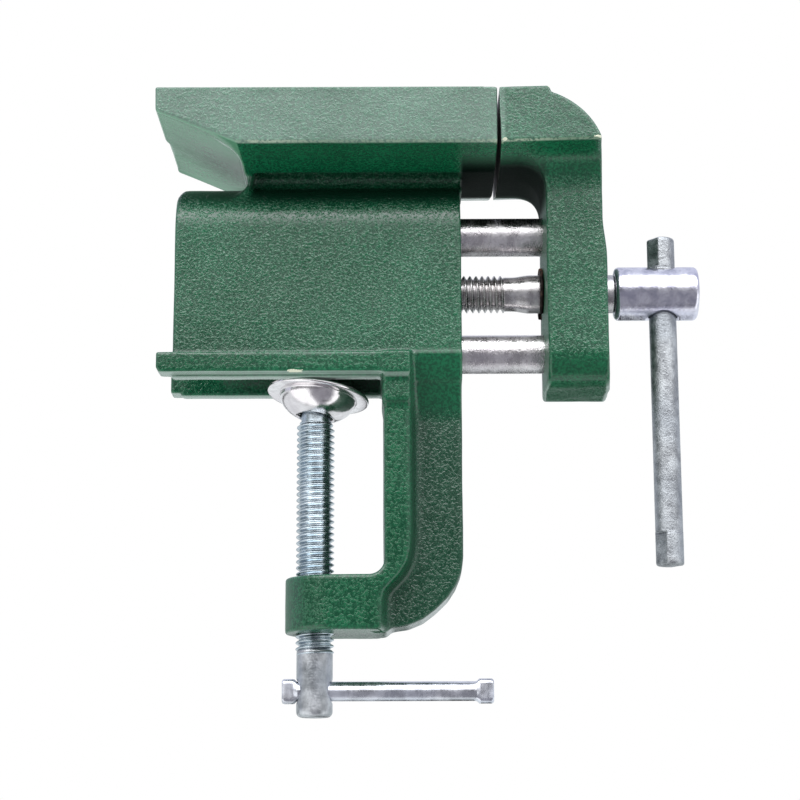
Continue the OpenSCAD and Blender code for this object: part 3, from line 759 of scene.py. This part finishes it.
add("vise_body", fixed_body_mesh(), M_fixed, "fixed_body", ["fixed_body"])
add("sliding_jaw", moving_jaw_mesh(), M_jaw, "moving_jaw", ["moving_jaw"])

for n, z in (("guide_rod_upper", 47.5), ("guide_rod_lower", 9.5)):
    prof = rounded([(0, -31), (5.2, -31), (6, -30.2), (6, 85.6), (5.2, 86.2), (0, 86.2)], 0.35, 3)
    body = [(r, h) for r, h in prof]
    add("rod_" + n.split("_")[-1], lathe("rod_" + n, body, 128, "X", (0, 0, z)), M_rod, "moving_jaw", [n])

# lead screw: thread, then the neck, flare and journal
add("lead_thread", helix("lead_thread", 5.85, -28, 60.2, 1.9, 1.12, 0.30, axis="X", at=(0, 0, 28.9), taper=(2.0, 1.6)),
    M_lead, "lead_screw", ["lead_screw"])
shank = rounded([(0, 58.2), (5.3, 58.2), (5.35, 62.2), (6.0, 66.2), (6.0, 93.4), (4.5, 93.4), (4.5, 101.4), (0, 101.4)], 0.8, 6)
add("lead_shank", lathe("lead_shank", shank, 128, "X", (0, 0, 28.9)), M_lead, "lead_screw")


def barrel_mesh():
    g = Grid((92.6, -9.4, 19.5), (120.4, 9.4, 38.3), 0.24)
    X, Y, Z = g.X, g.Y, g.Z - 28.9
    R = hypot(Y, Z)
    d = smax(R - 8.4, smax(93.4 - X, X - 119.4, 0.1), 1.7)
    d = smax(d, -(hypot(X - 108.5, Y) - 4.55), 0.9)
    return from_field("barrel_mesh", d.astype(f32), g, 120000, None, False)


add("screw_barrel", barrel_mesh(), M_barrel, "lead_screw", ["screw_head"])


def ring_mesh():
    pts, faces = [], []
    n, k = 120, 12
    a0, a1 = math.radians(-62), math.radians(242)
    for i in range(n + 1):
        a = a0 + (a1 - a0) * i / n
        rm = 7.1 + 0.05 * math.sin(5 * a)
        for j in range(k):
            b = 2 * math.pi * j / k
            u = 1.08 * math.copysign(abs(math.cos(b)) ** 0.5, math.cos(b))
            w = 0.69 * math.copysign(abs(math.sin(b)) ** 0.5, math.sin(b))
            pts.append((70.43 + w, (rm + u) * math.cos(a), 28.9 + (rm + u) * math.sin(a)))
    for i in range(n):
        for j in range(k):
            a, b = i * k + j, i * k + (j + 1) % k
            faces.append((a, b, b + k, a + k))
    faces.append(tuple(range(k)))
    faces.append(tuple(range((n + 1) * k - 1, n * k - 1, -1)))
    me = make_mesh("ring_mesh", pts, faces)
    return me


add("snap_ring", ring_mesh(), M_rust, "lead_screw", ["retaining_ring"])


def pressed(r, half, wide, angle, lo, hi, l_lo, l_hi, soft=1.0, power=2.0):
    """Radius of a bar whose two ends were pressed between flat dies."""
    def section(th, s):
        out = np.full(len(th), r)
        d = s - lo if s < (lo + hi) / 2 else hi - s
        length = l_lo if s < (lo + hi) / 2 else l_hi
        f = 1 - step(np.array((d - length) / soft)) if d > length else 1.0
        f = float(f)
        if f > 0:
            c, si = np.abs(np.cos(th - angle)), np.abs(np.sin(th - angle))
            flat = np.minimum(wide / np.maximum(1e-6, (c ** power + (si * wide / (half * 1.25)) ** power) ** (1 / power)), half / np.maximum(si, 1e-6))
            out = out * (1 - f) + flat * f
        e = max(0.0, 1 - d / 0.8)
        out = out - 0.75 * (1 - math.sqrt(max(0, 1 - e * e)))
        return out
    return section


def stations(lo, hi, step_mid=4.0):
    s = [lo, lo + 0.05, lo + 0.15, lo + 0.3, lo + 0.5, lo + 0.8]
    a = [lo + 0.8 + 0.6 * i for i in range(1, 24)]
    b = [hi - (q - lo) for q in reversed(s)]
    c = [hi - (q - lo) for q in reversed(a)]
    mid = list(np.arange(a[-1] + 1.5, c[0] - 1.0, 2.0))
    return s + a + mid + c + b


tb = stations(-57.0, 46.6)
tb = sorted(tb + [-57.0 + 9.8 + 0.1 * i for i in range(10)] + [46.6 - 8.9 - 0.1 * i for i in range(10)])
add("t_bar", loft("t_bar", tb, pressed(4.25, 3.42, 4.3, math.radians(-54), -57.0, 46.6, 10.0, 9.2, 0.5, 2.0), 72, "Z", (108.5, 0, 0)),
    M_bar, "screw_handle", ["screw_handle"])

tm = stations(-9.8, 54.1)
add("clamp_bar", loft("clamp_bar", tm, pressed(2.95, 2.2, 3.75, math.radians(90), -9.8, 54.1, 3.6, 4.3, 1.0, 2.6), 64, "X", (0, 0, -94.8)),
    M_tommy, "clamp_handle", ["clamp_handle"])

add("clamp_thread", helix("clamp_thread", 5.85, -84.5, -12.2, 1.9, 1.08, 0.25, taper=(1.0, 1.4)), M_zinc, "clamp_screw",
    ["clamp_screw"])


def clamp_head_mesh():
    g = Grid((-6.6, -6.6, -103.4), (6.6, 6.6, -81.4), 0.22)
    X, Y, Z = g.X, g.Y, g.Z
    R = hypot(X, Y)
    d = smax(R - 5.5, -102.6 - Z, 2.0)
    d = smax(d, Z + 82.3, 0.8)
    d = smax(d, -(hypot(Y, Z + 94.8) - 3.2), 0.7)
    return from_field("clamp_head_mesh", d.astype(f32), g, 90000, None, False)


add("clamp_head", clamp_head_mesh(), M_zhead, "clamp_screw")
neck = rounded([(0, -13), (4.6, -13), (4.5, -11.6), (4.5, -6.95), (0, -6.95)], 0.4, 4)
add("clamp_neck", lathe("clamp_neck", neck, 96), M_zinc, "clamp_screw")


def pad_mesh():
    """Dished sheet pad, hanging tilted on the screw's neck."""
    def bowl(r, d, r0, n=22):
        a0 = math.acos(r0 / r)
        return [(r * math.cos(a0 * (1 - i / n)), -d * math.sin(a0 * (1 - i / n))) for i in range(n + 1)]
    outer = bowl(12, 7.95, 5.75)
    inner = bowl(10.4, 6.35, 5.75)
    prof = outer[:-2] + [(12.05, -0.42), (12.4, -0.52), (13.2, -0.52), (15.2, -0.45), (15.72, -0.36), (15.9, 0.0), (15.86, 0.45),
                         (15.6, 0.72), (15.1, 0.76), (13.0, 0.82), (11.4, 0.82), (10.75, 0.6)] + list(reversed(inner[:-1]))
    n = 160
    pts, faces = [], []
    for r, h in prof:
        pts += [(r * math.cos(2 * math.pi * i / n), r * math.sin(2 * math.pi * i / n), h + 4.6) for i in range(n)]
    m = len(prof)
    for i in range(m):
        for j in range(n):
            a, b = i * n + j, i * n + (j + 1) % n
            c, d = ((i + 1) % m) * n + (j + 1) % n, ((i + 1) % m) * n + j
            faces.append((a, b, c, d))
    P = np.array(pts)
    ty, tx = math.radians(7.6), math.radians(-6.1)
    Ry = np.array([[math.cos(ty), 0, math.sin(ty)], [0, 1, 0], [-math.sin(ty), 0, math.cos(ty)]])
    Rx = np.array([[1, 0, 0], [0, math.cos(tx), -math.sin(tx)], [0, math.sin(tx), math.cos(tx)]])
    P = P @ Ry.T @ Rx.T + np.array([0, 0, -8.25])
    return make_mesh("pad_mesh", P, faces)


add("swivel_pad", pad_mesh(), M_pad, "clamp_pad", ["clamp_pad"])

for n in ("lead_nut", "rod_pin_upper", "rod_pin_lower", "head_pin", "pad_retainer"):
    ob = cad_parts[n]
    if not ob.material_slots:
        ob.data.materials.append(M_plain)
    for s in ob.material_slots:
        s.material = M_plain

# ------------------------------------------------------------------ camera, light, floor

cam = bpy.data.cameras.new("cam")
co = bpy.data.objects.new("cam", cam)
bpy.context.scene.collection.objects.link(co)
from mathutils import Matrix
co.matrix_world = Matrix.Translation((0.0261, -0.63166, -0.1426)) @ Matrix.Rotation(math.radians(102.3), 4, "X") @ Matrix.Rotation(math.radians(-0.2), 4, "Z")
cam.lens = 93.6
cam.sensor_width = 36
cam.clip_start = 0.01
bpy.context.scene.camera = co

fl = make_mesh("floor", [(-6000, -6000, -550), (6000, -6000, -550), (6000, 6000, -550), (-6000, 6000, -550)], [(0, 1, 2, 3)])
floor = bpy.data.objects.new("floor", fl)
bpy.context.scene.collection.objects.link(floor)
mf, t, b, tc = begin("floor_plain")
b.inputs["Base Color"].default_value = (0.86, 0.86, 0.86, 1)
b.inputs["Roughness"].default_value = 0.9
fl.materials.append(mf)
floor.visible_shadow = False
floor.visible_glossy = False
floor.visible_diffuse = False

w = bpy.data.worlds.new("studio")
bpy.context.scene.world = w
w.use_nodes = True
t = w.node_tree
t.nodes.clear()
out = t.nodes.new("ShaderNodeOutputWorld")
tc = t.nodes.new("ShaderNodeTexCoord")
sp = node(t, "ShaderNodeSeparateXYZ", {0: tc.outputs["Generated"]})
dx, dy, dz = sp.outputs[0], sp.outputs[1], sp.outputs[2]
# angle about X: 0 towards the front, 90 overhead, 180 behind, -90 below
ang = math_(t, "MULTIPLY", node(t, "ShaderNodeMath", {0: dz, 1: math_(t, "MULTIPLY", dy, -1.0)}, operation="ARCTAN2").outputs[0], 180 / math.pi)
az = math_(t, "MULTIPLY", node(t, "ShaderNodeMath", {0: dx, 1: math_(t, "MULTIPLY", dy, -1.0)}, operation="ARCTAN2").outputs[0], 180 / math.pi)
box = math_(t, "MULTIPLY", ramp(t, ang, 14.2, 17.0), ramp(t, ang, 62, 48))
box = math_(t, "MULTIPLY", box, ramp(t, dx, -0.01, 0.05, 1.0, 0.80))
box = math_(t, "ADD", box, math_(t, "MULTIPLY", math_(t, "MULTIPLY", ramp(t, ang, 30, 46), ramp(t, ang, 76, 60)), 2.2))
box = math_(t, "MULTIPLY", box, ramp(t, math_(t, "ABSOLUTE", dx), 0.86, 0.62))
low = math_(t, "MULTIPLY", ramp(t, ang, -2, 4), ramp(t, ang, 72, 60))
low = math_(t, "MULTIPLY", low, math_(t, "MAXIMUM", ramp(t, ang, 16, 28, 0.26, 1.0), ramp(t, dx, 0.10, 0.125, 0.0, 1.0)))
over = math_(t, "MULTIPLY", ramp(t, ang, 58, 70), ramp(t, ang, 176, 150))
# behind: white, but dark further below the horizon in the middle, and dim on the right
dim_a = math_(t, "MULTIPLY", ramp(t, dx, -0.055, -0.015), ramp(t, dz, -0.265, -0.305))
dim_b = math_(t, "MULTIPLY", ramp(t, dx, 0.005, 0.03), ramp(t, dz, -0.10, -0.16))
dim = math_(t, "MULTIPLY", math_(t, "MAXIMUM", dim_a, dim_b), math_(t, "MULTIPLY", ramp(t, dx, 0.135, 0.118), ramp(t, dz, -0.92, -0.82)))
dim = math_(t, "MULTIPLY", dim, ramp(t, dy, 0.1, 0.3))
behind = math_(t, "MAXIMUM", ramp(t, ang, 158, 174), ramp(t, ang, -84, -104))
behind = math_(t, "MULTIPLY", behind, math_(t, "SUBTRACT", 1.0, math_(t, "MULTIPLY", dim, 0.97)))
haze = math_(t, "MULTIPLY", math_(t, "MULTIPLY", ramp(t, dz, -0.165, -0.135), ramp(t, dz, -0.01, -0.05)), math_(t, "MULTIPLY", ramp(t, dx, 0.06, 0.0), ramp(t, dy, 0.1, 0.3)))
behind = math_(t, "MULTIPLY", behind, math_(t, "SUBTRACT", 1.0, math_(t, "MULTIPLY", haze, 0.75)))
below = math_(t, "MULTIPLY", ramp(t, ang, 4, -4), ramp(t, ang, -100, -82))
mid_ = math_(t, "MULTIPLY", ramp(t, az, -36, -20), ramp(t, az, 56, 40))
dark = math_(t, "MULTIPLY", below, mid_)
# a narrow dark gap, seen in the barrel
gap = math_(t, "MULTIPLY", math_(t, "MULTIPLY", ramp(t, ang, -70, -67), ramp(t, ang, -60, -63)), ramp(t, dx, 0.10, 0.12))
dark = math_(t, "MULTIPLY", dark, math_(t, "SUBTRACT", 1.0, math_(t, "MULTIPLY", gap, 0.8)))
side = math_(t, "MULTIPLY", below, math_(t, "SUBTRACT", 1.0, mid_))


def scale_col(f, c):
    n = node(t, "ShaderNodeVectorMath", {0: c[:3]}, operation="SCALE")
    t.links.new(f, n.inputs["Scale"])
    return n.outputs[0]


def vadd(a, b_):
    return node(t, "ShaderNodeVectorMath", {0: a, 1: b_}, operation="ADD").outputs[0]


light = scale_col(box, (1.88, 1.88, 1.91))
light = vadd(light, scale_col(low, (0.62, 0.62, 0.65)))
light = vadd(light, scale_col(over, (0.76, 0.79, 0.92)))
light = vadd(light, scale_col(behind, (0.92, 0.97, 1.0)))
light = vadd(light, scale_col(dark, (0.32, 0.32, 0.36)))
light = vadd(light, scale_col(side, (1.50, 1.52, 1.55)))
bg = node(t, "ShaderNodeBackground", {"Color": light, "Strength": 1.0})
cambg = node(t, "ShaderNodeBackground", {"Color": (1, 1, 1, 1), "Strength": 1.0})
lp = t.nodes.new("ShaderNodeLightPath")
ms = node(t, "ShaderNodeMixShader", {0: lp.outputs["Is Camera Ray"]})
t.links.new(bg.outputs[0], ms.inputs[1])
t.links.new(cambg.outputs[0], ms.inputs[2])
t.links.new(ms.outputs[0], out.inputs["Surface"])

# soft fills that only reach matt surfaces
for nm, rot, power in (("fill_below", (175, 0, 0), 2.2),):
    li = bpy.data.lights.new(nm, "SUN")
    li.energy = power
    li.angle = math.radians(60)
    lo_ = bpy.data.objects.new(nm, li)
    bpy.context.scene.collection.objects.link(lo_)
    lo_.rotation_euler = [math.radians(q) for q in rot]
    lo_.visible_glossy = False

sc = bpy.context.scene
sc.view_settings.view_transform = "Standard"
sc.view_settings.look = "None"
sc.view_settings.exposure = 0
sc.view_settings.gamma = 1
